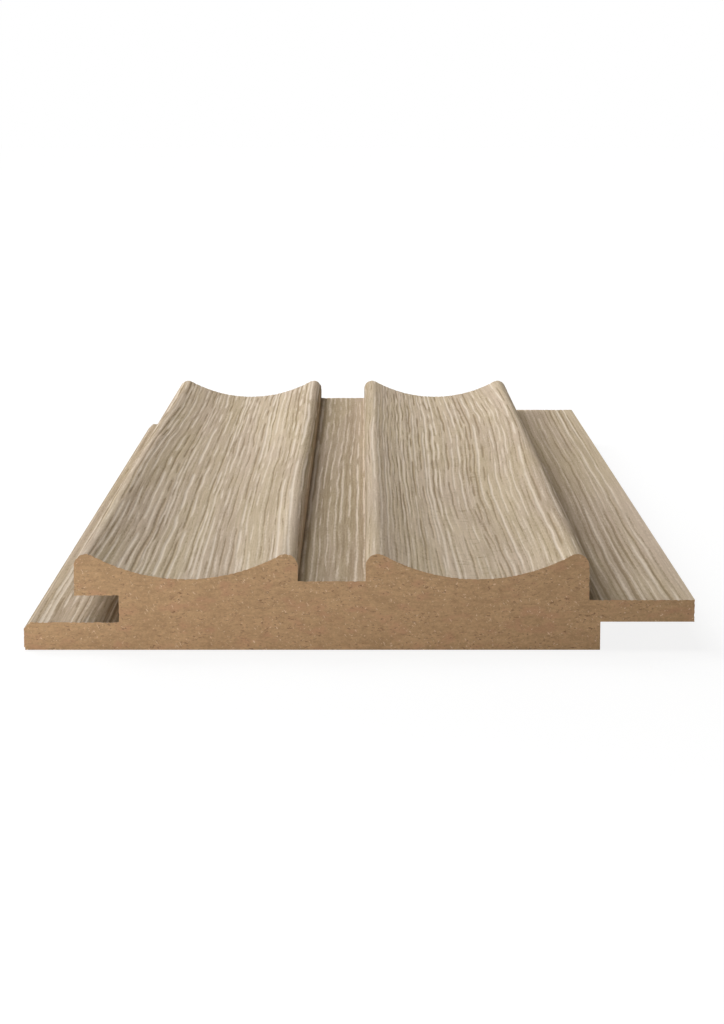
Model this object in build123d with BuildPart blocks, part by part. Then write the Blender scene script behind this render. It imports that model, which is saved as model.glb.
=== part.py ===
"""MDF wall panel: a fluted tongue-and-groove board, milled in one piece and wrapped in a decor foil.

The panel lies on its back. +X runs across it from the lip to the tongue, +Y along its length, and
+Z out of the wall. The origin is on the back face, at the middle of the overall width and length.
"""

import math
import os

from build123d import *

# Overall sizes, in millimetres
panel_length = 300.0
panel_thickness = 18.0  # from the back face to the crowns of the ribs
foil_thickness = 0.2

# Fluted face: each flute is a shallow scoop between two round-topped ribs
flute_count = 2
flute_width = 41.3  # over the outer sides of a flute's two ribs
flute_depth = 4.7  # from the crowns to the bottom of the scoop
crown_radius = 2.3
channel_width = 12.5  # flat-bottomed channel between two flutes
channel_depth = 5.1

# Lip and groove along the left edge, where the next panel's tongue slides in
lip_reach = 9.4  # how far the lip stands out past the first rib
lip_thickness = 5.2
lip_chamfer = 1.2
groove_height = 5.0
groove_depth = 8.2  # how far the groove is cut in under the first rib
foil_trim = 0.5  # the foil's edge stops this far above the back face

# Tongue along the right edge, and its fit in the next panel's groove
tongue_thickness = 4.1
shoulder_reach = 2.1  # the body under the tongue stands out past the last rib
tongue_lift = 0.1  # the tongue clears the next panel's lip
tongue_end_gap = 0.2  # the tongue stops short of the bottom of the groove

# Places across the panel, in X
faces_width = flute_count * flute_width + (flute_count - 1) * channel_width
cover_width = lip_reach + faces_width + shoulder_reach
tongue_length = lip_reach + groove_depth - tongue_end_gap
overall_width = cover_width + tongue_length
lip_edge = -overall_width / 2
first_rib = lip_edge + lip_reach
groove_wall = first_rib + groove_depth
shoulder = lip_edge + cover_width
tongue_tip = shoulder + tongue_length

# Heights above the back face, in Z
crown_centre = panel_thickness - crown_radius
channel_floor = panel_thickness - channel_depth
groove_roof = lip_thickness + groove_height
tongue_underside = lip_thickness + tongue_lift
tongue_top = tongue_underside + tongue_thickness

# A scoop is one arc, tangent to the crowns on both sides of it
half_span = flute_width / 2 - crown_radius
scoop_radius = (half_span**2 + flute_depth**2) / (2 * flute_depth) - crown_radius
scoop_slope = math.degrees(math.asin(half_span / (scoop_radius + crown_radius)))
crown_turn = 90 + scoop_slope


def draw_flute(start, depth):
    """Adds one flute's rib, scoop and rib to the line, from a rib's outer side, and returns its end."""
    left_crown = JernArc(start, (0, 1), crown_radius - depth, -crown_turn)
    scoop = JernArc(left_crown @ 1, left_crown % 1, scoop_radius + depth, 2 * scoop_slope)
    right_crown = JernArc(scoop @ 1, scoop % 1, crown_radius - depth, -crown_turn)
    return right_crown @ 1


def draw_face(depth):
    """Adds the face from the lip's edge to the tongue's tip, this far under the decor.

    Every line and arc is the decor's own, set in by the depth, so two such lines bound a layer of
    even thickness. Returns the two ends of the line.
    """
    chamfer = lip_chamfer + depth * math.tan(math.radians(22.5))  # a mitred 45 degree edge
    edge = Polyline(
        (lip_edge + depth, foil_trim),
        (lip_edge + depth, lip_thickness - chamfer),
        (lip_edge + chamfer, lip_thickness - depth),
        (groove_wall + depth, lip_thickness - depth),
        (groove_wall + depth, groove_roof + depth),
        (first_rib + depth, groove_roof + depth),
        (first_rib + depth, crown_centre),
    )
    flute_end = draw_flute(edge @ 1, depth)
    for flute in range(1, flute_count):
        next_rib = first_rib + flute * (flute_width + channel_width)
        channel = Polyline(
            flute_end,
            (next_rib - channel_width - depth, channel_floor - depth),
            (next_rib + depth, channel_floor - depth),
            (next_rib + depth, crown_centre),
        )
        flute_end = draw_flute(channel @ 1, depth)
    last_rib = first_rib + faces_width
    tongue = Polyline(
        flute_end,
        (last_rib - depth, tongue_top - depth),
        (tongue_tip - depth, tongue_top - depth),
        (tongue_tip - depth, tongue_underside),
    )
    return edge @ 0, tongue @ 1


# The milled board: the face under the foil, closed by the tongue's underside and the flat back
with BuildPart() as mdf_core:
    with BuildSketch(Plane.XZ):
        with BuildLine():
            face_start, face_end = draw_face(foil_thickness)
            Polyline(
                face_end,
                (shoulder, tongue_underside),
                (shoulder, 0),
                (lip_edge + foil_thickness, 0),
                face_start,
            )
        make_face()
    extrude(amount=panel_length / 2, both=True)
mdf_core.part.label = "mdf_core"

# The decor foil: one even strip glued over the whole face, from the lip's edge to the tongue's tip
with BuildPart() as decor_foil:
    with BuildSketch(Plane.XZ):
        with BuildLine():
            decor_start, decor_end = draw_face(0)
            glue_start, glue_end = draw_face(foil_thickness)
            Line(decor_start, glue_start)
            Line(decor_end, glue_end)
        make_face()
    extrude(amount=panel_length / 2, both=True)
decor_foil.part.label = "decor_foil"

os.makedirs("parts", exist_ok=True)
for piece in (mdf_core.part, decor_foil.part):
    export_step(piece, f"parts/{piece.label}.step")
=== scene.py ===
"""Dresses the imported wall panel: bare MDF on the milled board, and an embossed oak foil over its face."""

import math

import bpy
import numpy as np
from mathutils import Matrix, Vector


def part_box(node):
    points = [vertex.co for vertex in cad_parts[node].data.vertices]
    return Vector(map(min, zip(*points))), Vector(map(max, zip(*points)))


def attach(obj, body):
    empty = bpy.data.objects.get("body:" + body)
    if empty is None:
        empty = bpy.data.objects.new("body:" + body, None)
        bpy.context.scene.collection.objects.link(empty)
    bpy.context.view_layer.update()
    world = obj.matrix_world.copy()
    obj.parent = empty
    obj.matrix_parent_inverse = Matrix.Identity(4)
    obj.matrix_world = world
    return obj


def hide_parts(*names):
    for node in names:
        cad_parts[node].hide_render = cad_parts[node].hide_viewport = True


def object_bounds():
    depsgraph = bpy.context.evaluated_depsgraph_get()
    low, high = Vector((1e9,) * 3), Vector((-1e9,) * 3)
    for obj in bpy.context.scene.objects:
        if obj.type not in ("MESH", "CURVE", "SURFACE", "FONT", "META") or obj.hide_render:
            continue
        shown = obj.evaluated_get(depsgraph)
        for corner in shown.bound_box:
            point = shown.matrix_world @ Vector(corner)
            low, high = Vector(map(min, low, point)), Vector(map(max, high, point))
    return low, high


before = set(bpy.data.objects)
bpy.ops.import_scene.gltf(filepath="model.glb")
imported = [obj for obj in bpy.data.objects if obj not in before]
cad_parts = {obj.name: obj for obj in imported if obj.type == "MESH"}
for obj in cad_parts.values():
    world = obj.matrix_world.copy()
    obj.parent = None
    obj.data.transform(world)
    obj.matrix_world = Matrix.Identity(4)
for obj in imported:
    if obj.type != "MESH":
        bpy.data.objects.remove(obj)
cad_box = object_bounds()

MM = 0.001  # sizes below are in millimetres, and the scene's are in metres

# Section of the face, from the lip's edge to the tongue's tip
lip_thickness = 5.2
lip_chamfer = 1.2
lip_reach = 9.4
groove_height = 5.0
groove_depth = 8.2
flute_width = 41.3
flute_depth = 4.7
crown_radius = 2.3
channel_width = 12.5
channel_depth = 5.1
tongue_top = 9.4
tongue_thickness = 4.1

# The foil: its thickness, and how far its unseen side reaches into the coarser facets of the board
foil_thickness = 0.2
foil_overlap = 0.07
foil_end_gap = 0.02  # the foil stops this far short of the board's cut ends

# The foil's mesh: how far apart its columns lie across the face, and how many rows lie along it
column_spacing = 0.2
hidden_spacing = 0.3  # on the faces that lie inside the groove or along the edges
row_count = 106

# Embossed grain: how far apart its lines lie, where it is plain, tight and open
grain_seed = 11
plain_grain = 0.72
tight_grain = 0.55
open_grain = 0.95
emboss_depth = 0.12
edge_calm = 0.5  # the emboss fades out this close to a sharp edge
bend_calm = 4.0  # the grain runs straight this close to a sharp edge

# A line of the grain: the ranges that it is drawn from, and how slowly it comes and goes along the panel
line_gap = (0.4, 1.6)  # from the last line, as a share of the spacing
line_width = (0.2, 0.42)  # as a share of the spacing
line_strength = (0.35, 1.25)
line_presence = 0.9  # a line is whole where this and its fading reach 1, and gone where they reach 0
line_fading = 0.5
plain_reach = 7.5
open_reach = 27.0

# Smooth random drifts, as (amount, length of its waves across the grain, and along it)
broad_wander = (0.6, 14.0, 50.0)
fine_wander = (0.05, 2.0, 9.0)
line_waver = (0.08, 1.0, 8.0)
strength_drift = (0.2, 7.0, 70.0)
strength_limits = (0.4, 1.6)

# Areas of the decor, as (how far its middle lies from the start of its face, how wide it fades out)
bold_area = (28.0, 10.0)  # on the first flute, with strong lines
tight_area = (13.0, 6.0)  # on the second flute, with lines close together
weak_area = (38.0, 8.0)  # on the second flute, with weak lines
weak_channel = (0.0, 8.0)  # around the middle of the channel, with weak lines
flecked_area = (25.0, 15.0)  # on the second flute, with fine marks across the grain
painted_light_area = (14.0, 7.0)  # on the second flute's slope that faces away from the key light, with painted light
root_shade_area = (3.0, 7.0)  # on the tongue beside the last rib, with painted shade
open_fade = 2.0  # the open grain of the tongue sets in over this width
bold_gain = 0.35
tight_gain = 0.4
weak_loss = 0.2

# Broad bands of painted shade in the print, over the channel, the lip and the tongue's root, and one of
# painted light on the second flute: how strong they are, and where they end
channel_shade_half = 12.5
channel_shade_fade = 3.0
lip_painted_shade = 0.75
lip_shade_end = 2.0  # this far up the first rib
lip_shade_fade = 4.0
painted_light_strength = 0.6
root_painted_shade = 0.9

# Bake layout, in shares of the map: its margin, and the width of the strips for the unseen faces
bake_margin = 0.02
bake_strip = 0.005
bake_strips = 5

# Colours of the decor's print and of the bare board
oak_yellow_dark = (0.372, 0.286, 0.18, 1)
oak_yellow_pale = (0.735, 0.61, 0.44, 1)
oak_pink_dark = (0.372, 0.283, 0.192, 1)
oak_pink_pale = (0.735, 0.602, 0.472, 1)
oak_limed_line = (0.85, 0.742, 0.615, 1)
mdf_dark = (0.4, 0.25, 0.13, 1)
mdf_pale = (0.7, 0.45, 0.25, 1)
mdf_reddish = (0.58, 0.32, 0.19, 1)
mdf_speck = (0.27, 0.15, 0.085, 1)
mdf_fibre = (0.84, 0.64, 0.43, 1)

# Sheen of the print and of the bare board, and the depth of their fine relief
oak_sheen = 0.04
oak_relief = 0.05
mdf_sheen = 0.08
mdf_relief = 0.08

# Floor and sky: what they give to the object as light, and how white they look
floor_half = 4000
floor_gap = 0.05  # the floor lies this far under the panel
floor_colour = (0.75, 0.75, 0.75, 1)
shadow_colour = (0.18, 0.18, 0.18, 1)
glow_near = 0.87
glow_far = 1.0
glow_near_reach = 200
glow_far_reach = 700
white = (1, 1, 1, 1)
sky_light = 0.01
warm_white = (1.0, 0.92, 0.8)

# Camera, fitted to the photograph's 724 x 1024 frame
camera_place = (0.54, -644.3, 102.9)
camera_tilt = 8.863  # degrees below the horizon
camera_lens = 95.78
camera_nearest = 1

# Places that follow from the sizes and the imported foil
foil_low, foil_high = (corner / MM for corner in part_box("decor_foil"))
half_length = foil_high.y - foil_end_gap
foil_trim = foil_low.z
crown_centre = foil_high.z - crown_radius
groove_roof = lip_thickness + groove_height
channel_wall = channel_depth - crown_radius
tongue_reach = foil_high.x - foil_low.x - lip_reach - 2 * flute_width - channel_width

# A scoop is one arc, tangent to the crowns on both sides of it
half_span = flute_width / 2 - crown_radius
scoop_radius = (half_span**2 + flute_depth**2) / (2 * flute_depth) - crown_radius
scoop_slope = math.degrees(math.asin(half_span / (scoop_radius + crown_radius)))
crown_turn = 90 + scoop_slope


def flute_runs(first_side, last_side):
    """One flute: up a rib's outer side, over its crown, through the scoop, over a crown and down."""
    crown = (crown_radius * math.radians(crown_turn), -crown_turn)
    scoop = (scoop_radius * math.radians(2 * scoop_slope), 2 * scoop_slope)
    return [(first_side, 0), crown, scoop, crown, (last_side, 0)]


# Every face between two sharp edges: the turn onto it in degrees, its runs as (length, turn), and
# how far apart its columns lie
section_faces = [
    (0, [(lip_thickness - lip_chamfer - foil_trim, 0)], hidden_spacing),
    (-45, [(lip_chamfer * math.sqrt(2), 0)], column_spacing),
    (-45, [(lip_reach + groove_depth - lip_chamfer, 0)], column_spacing),
    (90, [(groove_height, 0)], hidden_spacing),
    (90, [(groove_depth, 0)], hidden_spacing),
    (-90, flute_runs(crown_centre - groove_roof, channel_wall), column_spacing),
    (90, [(channel_width, 0)], column_spacing),
    (90, flute_runs(channel_wall, crown_centre - tongue_top), column_spacing),
    (90, [(tongue_reach, 0)], column_spacing),
    (-90, [(tongue_thickness, 0)], hidden_spacing),
]
first_flute_face = 5  # the channel, the second flute and the tongue follow it


def walk_section(depth):
    """Walks the section this far under the decor.

    Returns the runs, as rows of start distance, x, z, heading and bend, and the distances at which
    the sharp edges lie. Under the decor a run is longer on the outside of a turn and shorter on the
    inside of it.
    """
    corners = [math.radians(turn) for turn, _, _ in section_faces] + [0.0]
    distance, x, z, heading = 0.0, foil_low.x + depth, foil_trim, math.radians(90)
    runs = []
    edges = [0.0]
    for face, (_, strokes, _) in enumerate(section_faces):
        heading += corners[face]
        for number, (length, turn) in enumerate(strokes):
            turn = math.radians(turn)
            length += depth * turn
            if number == 0:
                length += depth * math.tan(corners[face] / 2)
            if number == len(strokes) - 1:
                length += depth * math.tan(corners[face + 1] / 2)
            runs.append((distance, x, z, heading, turn / length))
            chord = length * np.sinc(turn / 2 / math.pi)
            x += chord * math.cos(heading + turn / 2)
            z += chord * math.sin(heading + turn / 2)
            heading += turn
            distance += length
        edges.append(distance)
    return np.array(runs).T, np.array(edges)


def on_section(runs, distance):
    """The places x and z, and the outward normal's x and z, at these distances along the section."""
    run = np.searchsorted(runs[0], distance, side="right") - 1
    start, x, z, heading, bend = runs[:, run]
    turned = bend * (distance - start)
    chord = (distance - start) * np.sinc(turned / 2 / math.pi)
    x = x + chord * np.cos(heading + turned / 2)
    z = z + chord * np.sin(heading + turned / 2)
    return x, z, -np.sin(heading + turned), np.cos(heading + turned)


def smooth_step(value):
    """Eases from 0 to 1 as the value goes from 0 to 1."""
    value = np.clip(value, 0, 1)
    return value * value * (3 - 2 * value)


def drift(rng, across, along, amount, wave_across, wave_along, waves=14):
    """A smooth random field of about this amount, with features of about these lengths."""
    total = np.zeros(np.broadcast(across, along).shape)
    for _ in range(waves):
        direction = rng.normal(size=2) / (wave_across, wave_along)
        total += np.cos(across * direction[0] + along * direction[1] + rng.uniform(0, 2 * math.pi))
    return amount * (total * math.sqrt(2 / waves))


def hump(distance, start, area):
    """1 in the middle of an area of the face that starts here, fading out on both sides of it."""
    into, fade = area
    return np.exp(-(((distance - start - into) / fade) ** 2))


def decor_areas(columns, edges):
    """How far in each area of the decor every column lies, and the painted shade and light on it."""
    first_flute, channel, second_flute, tongue = edges[first_flute_face : first_flute_face + 4]
    channel_middle = (channel + second_flute) / 2
    from_channel = columns - channel_middle
    # painted shade across the channel, up its walls and over its crowns
    painted_shading = smooth_step((channel_shade_half - np.abs(from_channel)) / channel_shade_fade)
    # painted shade on the lip, in its groove and at the foot of the first rib
    painted_shading += lip_painted_shade * smooth_step((first_flute + lip_shade_end - columns) / lip_shade_fade)
    # painted light on the second flute's slope that faces away from the key light
    painted_shading -= painted_light_strength * hump(columns, second_flute, painted_light_area)
    # painted shade on the tongue beside the last rib
    painted_shading += root_painted_shade * hump(columns, tongue, root_shade_area)
    return {
        "bold": hump(columns, first_flute, bold_area),
        "tight": hump(columns, second_flute, tight_area),
        "weak": hump(columns, channel_middle, weak_channel) + hump(columns, second_flute, weak_area),
        "open": smooth_step((columns - tongue) / open_fade),
        "flecked": hump(columns, second_flute, flecked_area),
        "painted_shading": painted_shading,
    }


def grow_grain(rng, columns, rows, areas):
    """The lines of the grain on every row and column, from 1 where pale to -1 where dark.

    Every line comes and goes along the panel, and wavers a little. They lie close together on the
    near side of the second scoop, and further apart on the tongue.
    """
    tight, wide = areas["tight"], areas["open"]
    spacing = plain_grain + (tight_grain - plain_grain) * tight + (open_grain - plain_grain) * wide
    reach = plain_reach + (open_reach - plain_reach) * wide
    vigour = 1 + tight_gain * tight + bold_gain * areas["bold"] - weak_loss * areas["weak"]
    lines = np.zeros((len(rows), len(columns)))
    place = 0.0
    shade = 1
    while place < columns[-1]:
        place += rng.uniform(*line_gap) * np.interp(place, columns, spacing)
        shade = -shade
        width = np.interp(place, columns, spacing) * rng.uniform(*line_width)
        strength = shade * rng.uniform(*line_strength) * np.interp(place, columns, vigour)
        fading = drift(rng, 0.0, rows, line_fading, 1.0, np.interp(place, columns, reach))
        along = strength * smooth_step(line_presence + fading)
        centre = place + drift(rng, 0.0, rows, *line_waver)
        lines += along[:, None] * np.exp(-(((columns - centre[:, None]) / width) ** 2))
    swing = 1 + drift(rng, columns[None, :], rows[:, None], *strength_drift)
    return lines * np.clip(swing, *strength_limits)


def lay_columns(decor_edges, glue_edges):
    """Distances of the columns along the decor and along the glue side, and which lie on sharp edges."""
    decor_columns, glue_columns, sharp_columns = [], [], [0]
    for face, (_, _, spacing) in enumerate(section_faces):
        steps = math.ceil((decor_edges[face + 1] - decor_edges[face]) / spacing)
        share = np.arange(steps) / steps
        decor_columns += list(decor_edges[face] + share * (decor_edges[face + 1] - decor_edges[face]))
        glue_columns += list(glue_edges[face] + share * (glue_edges[face + 1] - glue_edges[face]))
        sharp_columns.append(len(decor_columns))
    decor_columns.append(decor_edges[-1])
    glue_columns.append(glue_edges[-1])
    return np.array(decor_columns), np.array(glue_columns), sharp_columns


def grid_quads(first, second):
    """Quads between two neighbouring lines of vertex numbers."""
    return np.stack([first[:-1], first[1:], second[1:], second[:-1]], axis=-1).reshape(-1, 4)


def keep_values(mesh, name, values):
    """Keeps a value for every point of the decor under this name; the glue side's points get 0."""
    whole = np.zeros(len(mesh.vertices))
    whole[: values.size] = values.ravel()
    mesh.attributes.new(name, "FLOAT", "POINT").data.foreach_set("value", whole)


def lay_out_bake(mesh, columns, rows, decor_faces):
    """Bake layout: the decor fills the map, but for narrow strips for the glue side and the rims."""
    across_share = columns / columns[-1]
    along_share = (rows - rows[0]) / (rows[-1] - rows[0])
    decor_width = 1 - 2 * bake_strips * bake_strip - 2 * bake_margin
    column_u = bake_margin + decor_width * across_share
    column_v = bake_margin + (1 - 2 * bake_margin) * across_share
    row_v = bake_margin + (1 - 2 * bake_margin) * along_share
    grid_u, grid_v = (values.ravel() for values in np.broadcast_arrays(column_u, row_v[:, None]))
    corner_u = [grid_u[decor_faces].ravel()]
    corner_v = [grid_v[decor_faces].ravel()]
    strips = [1 - bake_margin - 2 * bake_strip * number for number in range(1, bake_strips + 1)]
    *side_strips, lip_left, tongue_left = strips
    for left in side_strips:
        right = left + bake_strip
        corner_u.append(np.tile([left, left, right, right], len(columns) - 1))
        corner_v.append(grid_quads(column_v, column_v).ravel())
    corner_u += [[lip_left] * len(rows), [lip_left + bake_strip] * 2]
    corner_v += [row_v, row_v[[-1, 0]]]
    corner_u += [[tongue_left + bake_strip] * 2, [tongue_left] * len(rows)]
    corner_v += [row_v[[0, -1]], row_v[::-1]]
    layout = np.stack([np.concatenate(corner_u), np.concatenate(corner_v)], axis=-1)
    mesh.uv_layers.new(name="OFBake").data.foreach_set("uv", layout.ravel())


def build_foil():
    """The decor foil: the whole face with its embossed grain, and the plain glue side under it."""
    rng = np.random.default_rng(grain_seed)
    decor_runs, decor_edges = walk_section(0.0)
    glue_runs, glue_edges = walk_section(foil_thickness + foil_overlap)
    columns, glue_columns, sharp_columns = lay_columns(decor_edges, glue_edges)
    rows = np.linspace(-half_length, half_length, row_count + 1)
    areas = decor_areas(columns, decor_edges)

    # The columns follow the grain, which wanders between the sharp edges
    to_edge = np.abs(columns[:, None] - decor_edges).min(axis=1)
    across, along = np.broadcast_arrays(columns[None, :], rows[:, None])
    wander = drift(rng, across, along, *broad_wander) + drift(rng, across, along, *fine_wander)
    distance = columns + wander * smooth_step(to_edge / bend_calm)
    x, z, normal_x, normal_z = on_section(decor_runs, np.clip(distance, 0, decor_edges[-1]))
    lines = grow_grain(rng, columns, rows, areas)
    depth = emboss_depth * np.clip(np.abs(lines), 0, 1) * smooth_step(to_edge / edge_calm)
    decor_points = np.stack([x - normal_x * depth, along, z - normal_z * depth], axis=-1)
    glue_x, glue_z, _, _ = on_section(glue_runs, glue_columns)
    glue_points = [np.stack([glue_x, np.full_like(glue_x, y), glue_z], axis=-1) for y in rows[[0, -1]]]
    points = np.concatenate([decor_points.reshape(-1, 3), *glue_points])

    # Vertex numbers: the decor's rows, then the glue side's two ends
    count = len(columns)
    decor = np.arange(len(rows) * count).reshape(len(rows), count)
    front, back = decor.size + np.arange(count), decor.size + count + np.arange(count)
    decor_faces = np.concatenate([grid_quads(decor[row], decor[row + 1]) for row in range(row_count)])
    hidden_faces = np.concatenate(
        [grid_quads(back, front), grid_quads(front, decor[0]), grid_quads(decor[-1], back)]
    )
    lip_rim = [*decor[:, 0], back[0], front[0]]
    tongue_rim = [front[-1], back[-1], *decor[::-1, -1]]
    faces = [*decor_faces.tolist(), *hidden_faces.tolist(), lip_rim, tongue_rim]

    mesh = bpy.data.meshes.new("embossed_oak_foil")
    mesh.from_pydata((points * MM).tolist(), [], faces)
    foil = bpy.data.objects.new("embossed_oak_foil", mesh)
    bpy.context.scene.collection.objects.link(foil)

    # For the decor's print: the places across and along the grain in metres, its lines, its bands of
    # painted shade and light, and its areas
    place = np.zeros((len(points), 3))
    place[: decor.size, 0] = across.ravel()
    place[: decor.size, 1] = along.ravel()
    grain = mesh.attributes.new("grain", "FLOAT_VECTOR", "POINT")
    grain.data.foreach_set("vector", (place * MM).ravel())
    keep_values(mesh, "pale_line", lines)
    keep_values(mesh, "painted_shading_band", np.broadcast_to(areas["painted_shading"], lines.shape))
    keep_values(mesh, "fleck_share", np.broadcast_to(areas["flecked"], lines.shape))

    # Smooth shading and the print on the decor alone, broken at the sharp edges of the section
    shown = [True] * len(decor_faces)
    unseen = [False] * (len(faces) - len(decor_faces))
    mesh.polygons.foreach_set("use_smooth", shown + unseen)
    mesh.polygons.foreach_set("material_index", [0] * len(shown) + [1] * len(unseen))
    ends = np.array([edge.vertices[:] for edge in mesh.edges])
    in_decor = (ends < decor.size).all(axis=1)
    lengthwise = in_decor & (ends[:, 0] % count == ends[:, 1] % count)
    sharp = lengthwise & np.isin(ends[:, 0] % count, sharp_columns)
    mesh.attributes.new("sharp_edge", "BOOLEAN", "EDGE").data.foreach_set("value", sharp)
    lay_out_bake(mesh, columns, rows, decor_faces)
    return foil


def feed(tree, socket, value):
    """Gives an input a plain value or another node's output."""
    if isinstance(value, bpy.types.NodeSocket):
        tree.links.new(value, socket)
    else:
        socket.default_value = value


def add_node(tree, kind, inputs=(), **settings):
    """A node with these settings; each input is a plain value or another node's output."""
    node = tree.nodes.new(kind)
    for name, value in settings.items():
        setattr(node, name, value)
    for name, value in dict(inputs).items():
        feed(tree, node.inputs[name], value)
    return node


class Nodes:
    """Short ways to add nodes to one material."""

    def __init__(self, name):
        self.material = bpy.data.materials.new(name)
        self.material.use_nodes = True
        self.tree = self.material.node_tree
        self.shader = self.tree.nodes["Principled BSDF"]

    def link(self, output, name):
        """Leads an output to the shader's input of this name."""
        self.tree.links.new(output, self.shader.inputs[name])

    def stored(self, name, output="Fac"):
        """A value that the mesh keeps under this name."""
        return add_node(self.tree, "ShaderNodeAttribute", attribute_name=name).outputs[output]

    def noise(self, place, sizes, detail=2.0, roughness=0.5, turn=(0, 0, 0)):
        """Noise whose features are about these sizes, in millimetres, along its turned axes."""
        fitted = add_node(
            self.tree,
            "ShaderNodeMapping",
            {"Vector": place, "Rotation": turn, "Scale": [size * MM for size in sizes]},
            vector_type="TEXTURE",
        )
        inputs = {
            "Vector": fitted.outputs["Vector"],
            "Scale": 1.0,
            "Detail": detail,
            "Roughness": roughness,
        }
        return add_node(self.tree, "ShaderNodeTexNoise", inputs).outputs["Fac"]

    def ramp(self, value, low, high, to_low=0.0, to_high=1.0):
        """Maps a value's range from low to high onto another, held at its ends."""
        inputs = {"Value": value, "From Min": low, "From Max": high, "To Min": to_low, "To Max": to_high}
        node = add_node(self.tree, "ShaderNodeMapRange", inputs, interpolation_type="SMOOTHSTEP")
        return node.outputs["Result"]

    def mix(self, factor, first, second):
        """Blends two colours."""
        node = add_node(self.tree, "ShaderNodeMix", data_type="RGBA")
        for name, value in (("Factor_Float", factor), ("A_Color", first), ("B_Color", second)):
            feed(self.tree, next(s for s in node.inputs if s.identifier == name), value)
        return next(s for s in node.outputs if s.identifier == "Result_Color")

    def product(self, first, second):
        """Two values multiplied."""
        inputs = {0: first, 1: second}
        return add_node(self.tree, "ShaderNodeMath", inputs, operation="MULTIPLY").outputs[0]

    def sum(self, *weighted):
        """The sum of (value, weight) pairs."""
        total = self.product(*weighted[0])
        for value, weight in weighted[1:]:
            inputs = {0: total, 1: self.product(value, weight)}
            total = add_node(self.tree, "ShaderNodeMath", inputs, operation="ADD").outputs[0]
        return total

    def bump(self, height, depth, strength=0.5):
        """Fine relief of this depth, in millimetres."""
        inputs = {"Height": height, "Strength": strength, "Distance": depth * MM}
        self.link(add_node(self.tree, "ShaderNodeBump", inputs).outputs["Normal"], "Normal")


def oak_decor():
    """Greige limed oak print: soft bands and fine fibres along the grain, pale in the embossed lines."""
    nodes = Nodes("oak_decor")
    place = nodes.stored("grain", "Vector")
    line = nodes.stored("pale_line")
    # bands of painted shade and painted light, kept on the mesh
    painted_shading = nodes.stored("painted_shading_band")
    flecked = nodes.stored("fleck_share")

    # Noises, with their sizes across and along the grain
    bands = nodes.noise(place, (4, 300, 1), detail=3, roughness=0.6)
    streak = nodes.noise(place, (0.6, 40, 1), detail=3, roughness=0.6)
    thread = nodes.noise(place, (0.24, 16, 1), detail=2, roughness=0.6)
    fibre = nodes.noise(place, (0.3, 2.5, 1), detail=3, roughness=0.65)
    hue = nodes.noise(place, (8, 120, 1), detail=3, roughness=0.65)
    cluster = nodes.noise(place, (8, 16, 1), detail=1)
    fleck = nodes.noise(place, (3.6, 0.9, 1), detail=1)

    # The print is lighter where its ground is and in the band of painted light, and darker in dark lines,
    # cross flecks and bands of painted shade
    rough_line = nodes.sum((line, 0.95), (fibre, 1.0), (thread, 0.7))
    ground = nodes.sum((bands, 0.6), (streak, 0.4), (thread, 0.3), (fibre, 0.3))
    clustered = nodes.product(nodes.ramp(cluster, 0.4, 0.6), nodes.ramp(fleck, 0.58, 0.68))
    light = nodes.sum(
        (nodes.ramp(ground, 0.32, 1.2), 1.0),
        (nodes.ramp(rough_line, 0.75, 0.0), -0.6),
        (nodes.product(clustered, flecked), -0.45),
        # painted shade over the channel, the lip and the tongue's root, and painted light on the second
        # flute
        (painted_shading, -0.28),
    )
    yellow = nodes.mix(light, oak_yellow_dark, oak_yellow_pale)
    pink = nodes.mix(light, oak_pink_dark, oak_pink_pale)
    colour = nodes.mix(nodes.ramp(hue, 0.35, 0.65), yellow, pink)
    limed = nodes.ramp(rough_line, 0.85, 1.6, to_high=0.68)
    nodes.link(nodes.mix(limed, colour, oak_limed_line), "Base Color")
    nodes.link(nodes.ramp(fibre, 0.3, 0.7, to_low=0.85, to_high=1.0), "Roughness")
    nodes.shader.inputs["Specular IOR Level"].default_value = oak_sheen
    nodes.bump(nodes.sum((fibre, 0.6), (streak, 0.4)), depth=oak_relief)
    return nodes.material


def raw_mdf():
    """Bare MDF: tan pressed fibre, with dark specks, pale fibres and faint reddish patches."""
    nodes = Nodes("raw_mdf")
    place = add_node(nodes.tree, "ShaderNodeTexCoord").outputs["Object"]
    clouds = nodes.noise(place, (6, 6, 3.5), detail=2)
    felt = nodes.noise(place, (0.5, 0.5, 0.35), detail=4, roughness=0.7)
    mottle = nodes.noise(place, (1.7, 1.7, 0.6), detail=2)
    patches = nodes.noise(place, (4, 4, 2), detail=3)
    specks = nodes.noise(place, (0.7, 0.7, 0.35), detail=2, roughness=0.6)
    first_fibres = nodes.noise(place, (2.6, 0.35, 0.3), detail=1, turn=(0.4, 0.9, 0.5))
    second_fibres = nodes.noise(place, (2.6, 0.35, 0.3), detail=1, turn=(0.2, -0.5, -0.7))

    tone = nodes.sum((clouds, 0.2), (felt, 0.5), (mottle, 0.3))
    colour = nodes.mix(nodes.ramp(tone, 0.25, 0.75), mdf_dark, mdf_pale)
    colour = nodes.mix(nodes.ramp(patches, 0.5, 0.7, to_high=0.5), colour, mdf_reddish)
    speckled = nodes.ramp(clouds, 0.4, 0.6, to_low=0.25, to_high=0.85)
    colour = nodes.mix(nodes.product(nodes.ramp(specks, 0.58, 0.7), speckled), colour, mdf_speck)
    for fibres in (first_fibres, second_fibres):
        colour = nodes.mix(nodes.ramp(fibres, 0.69, 0.77, to_high=0.8), colour, mdf_fibre)
    nodes.link(colour, "Base Color")
    nodes.link(nodes.ramp(felt, 0.3, 0.7, to_low=0.8, to_high=0.95), "Roughness")
    nodes.shader.inputs["Specular IOR Level"].default_value = mdf_sheen
    nodes.bump(felt, depth=mdf_relief)
    return nodes.material


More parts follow.
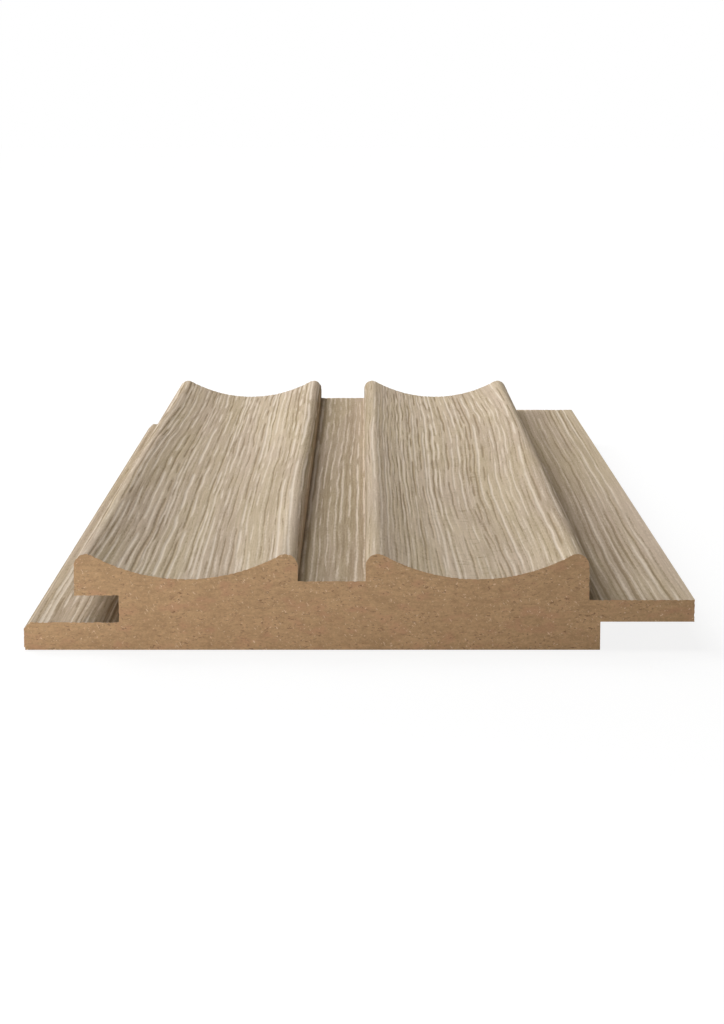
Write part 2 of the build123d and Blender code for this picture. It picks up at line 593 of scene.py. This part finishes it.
def seen_directly(tree):
    """1 where the background is seen or shows in a reflection, and 0 where it only gives light."""
    path = add_node(tree, "ShaderNodeLightPath")
    seen = path.outputs["Is Camera Ray"]
    for name in ("Is Glossy Ray", "Is Transmission Ray"):
        inputs = {0: seen, 1: path.outputs[name]}
        seen = add_node(tree, "ShaderNodeMath", inputs, operation="MAXIMUM").outputs[0]
    return seen


def white_floor():
    """A floor that gives the object plain light, and looks white around the object's soft shadow."""
    material = bpy.data.materials.new("white_floor")
    material.use_nodes = True
    tree = material.node_tree
    tree.nodes.clear()
    lit = add_node(tree, "ShaderNodeBsdfDiffuse", {"Color": floor_colour})
    shadowed = add_node(tree, "ShaderNodeBsdfDiffuse", {"Color": shadow_colour})
    place = add_node(tree, "ShaderNodeTexCoord").outputs["Object"]
    reach = add_node(tree, "ShaderNodeVectorMath", {0: place}, operation="LENGTH").outputs["Value"]
    fade = {
        "Value": reach,
        "From Min": glow_near_reach * MM,
        "From Max": glow_far_reach * MM,
        "To Min": glow_near,
        "To Max": glow_far,
    }
    strength = add_node(tree, "ShaderNodeMapRange", fade).outputs["Result"]
    glow = add_node(tree, "ShaderNodeEmission", {"Strength": strength})
    both = add_node(tree, "ShaderNodeAddShader", {0: shadowed.outputs[0], 1: glow.outputs[0]})
    choice = {0: seen_directly(tree), 1: lit.outputs[0], 2: both.outputs[0]}
    shown = add_node(tree, "ShaderNodeMixShader", choice)
    add_node(tree, "ShaderNodeOutputMaterial", {"Surface": shown.outputs[0]})
    return material


def add_stage():
    """A wide white floor that keeps a soft shadow, under a white sky."""
    size = floor_half * MM
    level = cad_box[0].z - floor_gap * MM
    corners = [(-size, -size, level), (size, -size, level), (size, size, level), (-size, size, level)]
    mesh = bpy.data.meshes.new("floor")
    mesh.from_pydata(corners, [], [(0, 1, 2, 3)])
    mesh.materials.append(white_floor())
    floor = bpy.data.objects.new("floor", mesh)
    bpy.context.scene.collection.objects.link(floor)

    world = bpy.data.worlds.new("white_sky")
    world.use_nodes = True
    bpy.context.scene.world = world
    tree = world.node_tree
    background = tree.nodes["Background"]
    background.inputs["Color"].default_value = white
    inputs = {"Value": seen_directly(tree), "To Min": sky_light}
    strength = add_node(tree, "ShaderNodeMapRange", inputs)
    tree.links.new(strength.outputs["Result"], background.inputs["Strength"])


def add_area_light(name, place, size, power, target=(0, 0, 0), colour=(1, 1, 1)):
    """A square soft light at a place, in millimetres, that faces a target."""
    light = bpy.data.lights.new(name, "AREA")
    light.shape = "SQUARE"
    light.size = size * MM
    light.energy = power
    light.color = colour
    lamp = bpy.data.objects.new(name, light)
    lamp.location = [value * MM for value in place]
    facing = np.subtract(target, place)
    lamp.rotation_euler = Vector(facing).to_track_quat("-Z", "Y").to_euler()
    lamp.visible_camera = False
    bpy.context.scene.collection.objects.link(lamp)


def add_camera():
    """The photograph's camera: level from side to side, looking down along the panel."""
    camera = bpy.data.cameras.new("camera")
    camera.lens = camera_lens
    camera.clip_start = camera_nearest * MM
    eye = bpy.data.objects.new("camera", camera)
    eye.location = [value * MM for value in camera_place]
    eye.rotation_euler = (math.radians(90 - camera_tilt), 0, 0)
    bpy.context.scene.collection.objects.link(eye)
    bpy.context.scene.camera = eye


# The milled board keeps its solid, and shows as bare MDF at its cut ends and back
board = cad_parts["mdf_core"]
mdf = raw_mdf()
board.data.materials.clear()
board.data.materials.append(mdf)

# The foil stands for its plain solid
foil = build_foil()
foil.data.materials.append(oak_decor())
foil.data.materials.append(mdf)
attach(foil, "root")
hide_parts("decor_foil")

add_stage()
add_camera()
add_area_light("left_key", place=(-400, 0, 1200), size=700, power=6.0)
add_area_light("back_left_key", place=(-750, 700, 720), size=800, power=12.2)
add_area_light("right_fill", place=(1100, 100, 400), size=700, power=1.4, colour=warm_white)
add_area_light("back_fill", place=(0, 1100, 800), size=900, power=1.4)
add_area_light("end_light", place=(-115, -355, 9), target=(0, -150, 9), size=14, power=0.245)
bpy.context.scene.view_settings.view_transform = "Standard"
